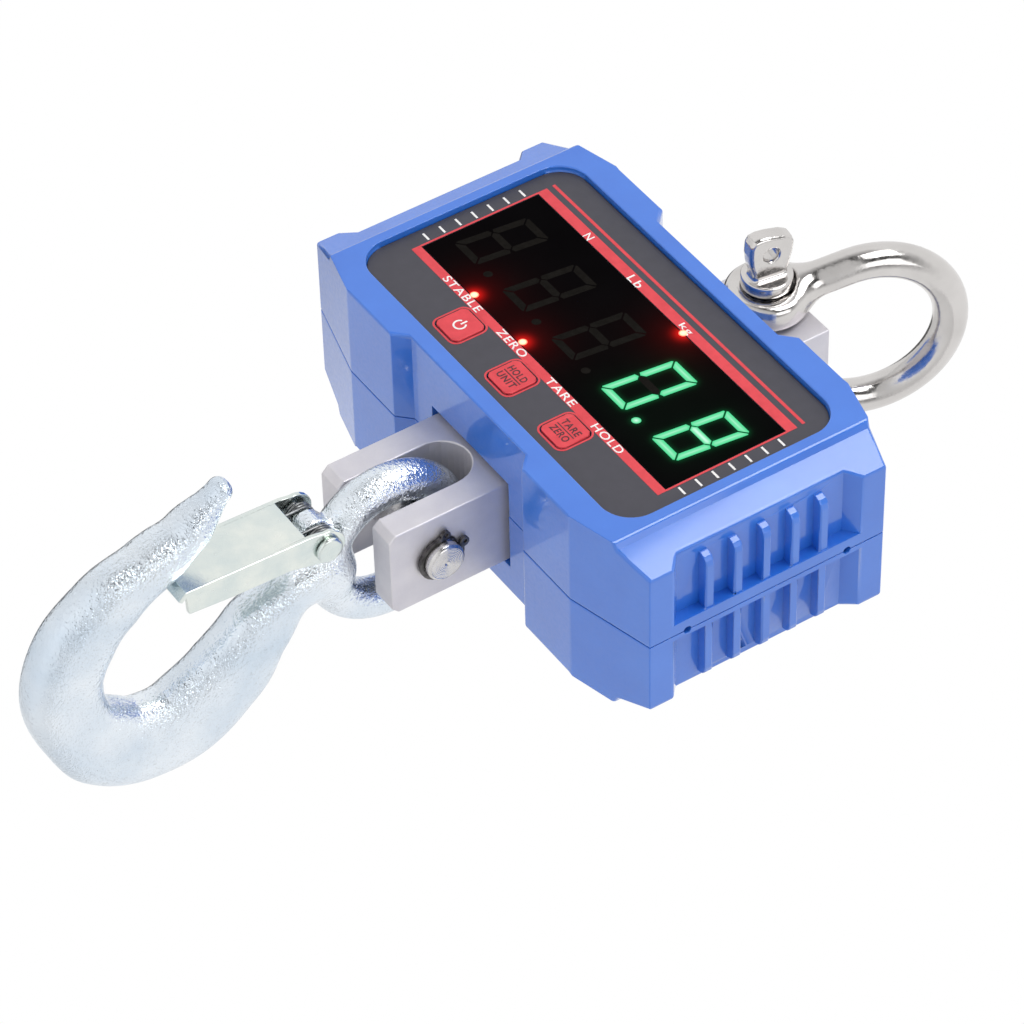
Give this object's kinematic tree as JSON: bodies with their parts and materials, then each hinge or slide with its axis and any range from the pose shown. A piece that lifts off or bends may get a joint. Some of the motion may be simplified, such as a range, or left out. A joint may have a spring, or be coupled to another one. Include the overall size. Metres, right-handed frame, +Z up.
{
  "type": "crane scale",
  "caption": "Hanging crane scale: load cell through a two-shell housing with a lit digit display and keys, a bow shackle above and a latched hook below.",
  "frame": {"origin": "inside the top of the shackle's bow, where the crane's hook bears", "axes": "+Z up the line of pull from the hook to the shackle; +Y out of the housing's back, so the display looks along -Y; +X to the display's right as read"},
  "size_m": [0.1526, 0.0886, 0.2776],
  "materials": {
    "blue_paint": "gloss, slight orange peel",
    "seal_rubber": "matte",
    "zinc_screw": "zinc plated",
    "panel_film": "fine matte film",
    "window_tint": "dark tinted gloss",
    "key_red": "satin film",
    "circuit_board": "solder mask",
    "digit_case": "matte black",
    "lamp_red": "clear tinted",
    "black_plastic": "matte black",
    "battery_sleeve": "shrink sleeve",
    "cell_aluminium": "satin machined",
    "gauge_resin": "cast resin",
    "pin_steel": "turned bright steel",
    "ring_steel": "black oxide",
    "forged_zinc": "bright zinc plated forging",
    "latch_zinc": "zinc plated sheet",
    "spring_steel": "dark spring wire",
    "shackle_steel": "polished stainless"
  },
  "bodies": {
    "shackle": {"shackle": "shackle_steel"},
    "shackle_pin": {"shackle_pin": "shackle_steel"},
    "scale_body": {"front_housing": "blue_paint", "rear_housing": "blue_paint", "housing_seal_left": "seal_rubber", "housing_seal_right": "seal_rubber", "housing_screw_1": "zinc_screw", "housing_screw_2": "zinc_screw", "housing_screw_3": "zinc_screw", "housing_screw_4": "zinc_screw", "overlay_film": "panel_film", "display_window": "window_tint", "main_circuit_board": "circuit_board", "digit_module_1": "digit_case", "digit_module_2": "digit_case", "digit_module_3": "digit_case", "digit_module_4": "digit_case", "digit_module_5": "digit_case", "indicator_lamp_1": "lamp_red", "indicator_lamp_2": "lamp_red", "indicator_lamp_3": "lamp_red", "indicator_lamp_4": "lamp_red", "indicator_lamp_5": "lamp_red", "indicator_lamp_6": "lamp_red", "indicator_lamp_7": "lamp_red", "key_switch_1": "black_plastic", "key_switch_2": "black_plastic", "key_switch_3": "black_plastic", "battery_tray": "black_plastic", "battery_1": "battery_sleeve", "battery_2": "battery_sleeve", "battery_3": "battery_sleeve", "charging_socket": "black_plastic", "load_cell": "cell_aluminium", "gauge_resin_left": "gauge_resin", "gauge_resin_right": "gauge_resin", "load_cell_screw_1": "zinc_screw", "load_cell_screw_2": "zinc_screw", "hook_pin": "pin_steel", "retaining_ring_left": "ring_steel", "retaining_ring_right": "ring_steel"},
    "hook": {"hook": "forged_zinc", "latch_rivet": "latch_zinc"},
    "safety_latch": {"safety_latch": "latch_zinc", "latch_spring": "spring_steel"},
    "power_key": {"power_key": "key_red"},
    "hold_unit_key": {"hold_unit_key": "key_red"},
    "tare_zero_key": {"tare_zero_key": "key_red"}
  },
  "joints": [
    {"name": "screw_pin_turn", "type": "hinge", "parent": "shackle", "child": "shackle_pin", "pos_m": [-0.01528, 0, -0.04339], "axis": [0, 1, 0], "range_deg": [-90, 90]},
    {"name": "scale_swing", "type": "hinge", "parent": "shackle", "child": "scale_body", "pos_m": [-0.01528, 0, -0.04339], "axis": [0, 1, 0], "range_deg": [-60, 60]},
    {"name": "hook_swing", "type": "hinge", "parent": "scale_body", "child": "hook", "pos_m": [-0.01528, 0, -0.15619], "axis": [1, 0, 0], "range_deg": [-60, 12]},
    {"name": "latch_open", "type": "hinge", "parent": "hook", "child": "safety_latch", "pos_m": [-0.01528, -0.0122, -0.18399], "axis": [1, 0, 0], "range_deg": [0, 36], "stiffness_Nm_per_rad": 0.05, "springref_deg": -20.05},
    {"name": "power_key_press", "type": "slide", "parent": "scale_body", "child": "power_key", "axis": [0, 1, 0], "range_m": [0, 0.0004], "stiffness_N_per_m": 2500, "springref_m": -0.0002},
    {"name": "hold_unit_key_press", "type": "slide", "parent": "scale_body", "child": "hold_unit_key", "axis": [0, 1, 0], "range_m": [0, 0.0004], "stiffness_N_per_m": 2500, "springref_m": -0.0002},
    {"name": "tare_zero_key_press", "type": "slide", "parent": "scale_body", "child": "tare_zero_key", "axis": [0, 1, 0], "range_m": [0, 0.0004], "stiffness_N_per_m": 2500, "springref_m": -0.0002}
  ]
}
